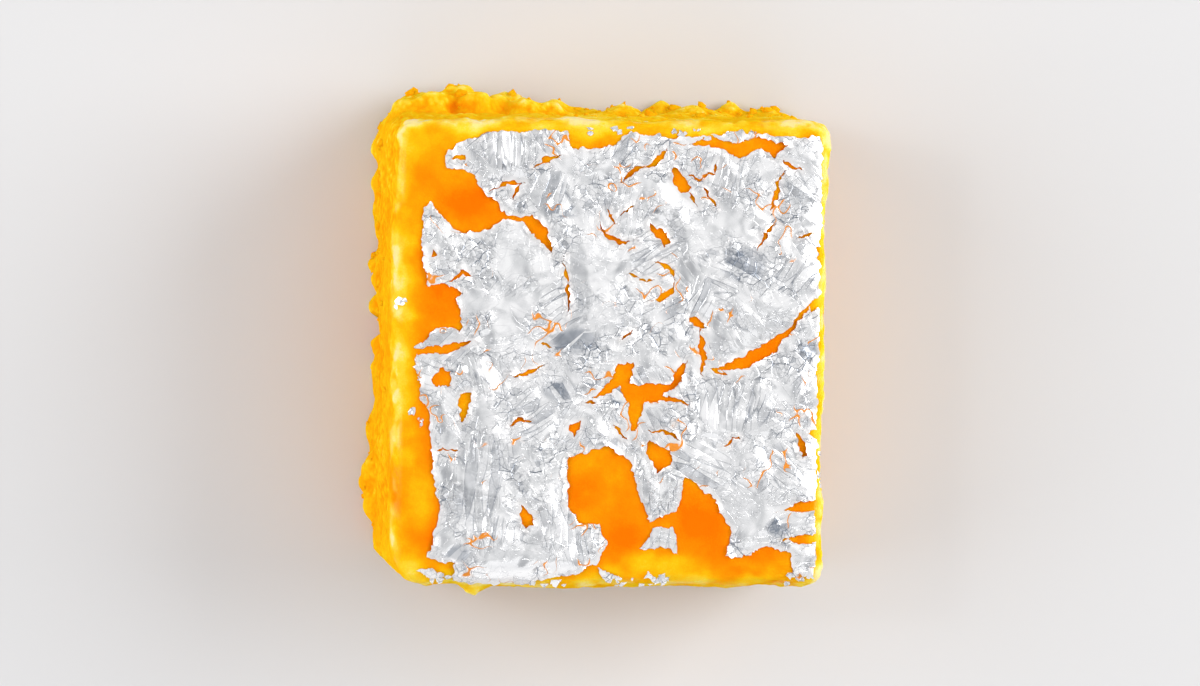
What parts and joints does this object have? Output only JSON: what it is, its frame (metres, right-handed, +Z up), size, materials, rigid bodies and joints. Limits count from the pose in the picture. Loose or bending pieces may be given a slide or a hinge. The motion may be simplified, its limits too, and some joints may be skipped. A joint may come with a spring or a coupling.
{
  "type": "barfi",
  "caption": "Square-cut block of saffron yellow milk fudge with a torn, crinkled silver leaf laid over its flat top.",
  "frame": {"origin": "middle of the base, on the surface that the block rests on", "axes": "+Z up through the top that carries the leaf, +Y towards the back, +X to the right as seen from the front"},
  "size_m": [0.0418, 0.0458, 0.0212],
  "materials": {
    "fudge": "moist, fine-grained milk fudge with a soft satin sheen on its worn edges",
    "silver": "crinkled, bright beaten silver leaf"
  },
  "bodies": {
    "root": {"barfi_block": "fudge", "silver_leaf": "silver", "leaf_scrap_prong": "silver", "leaf_scrap_front": "silver", "leaf_scrap_corner": "silver"}
  },
  "joints": []
}
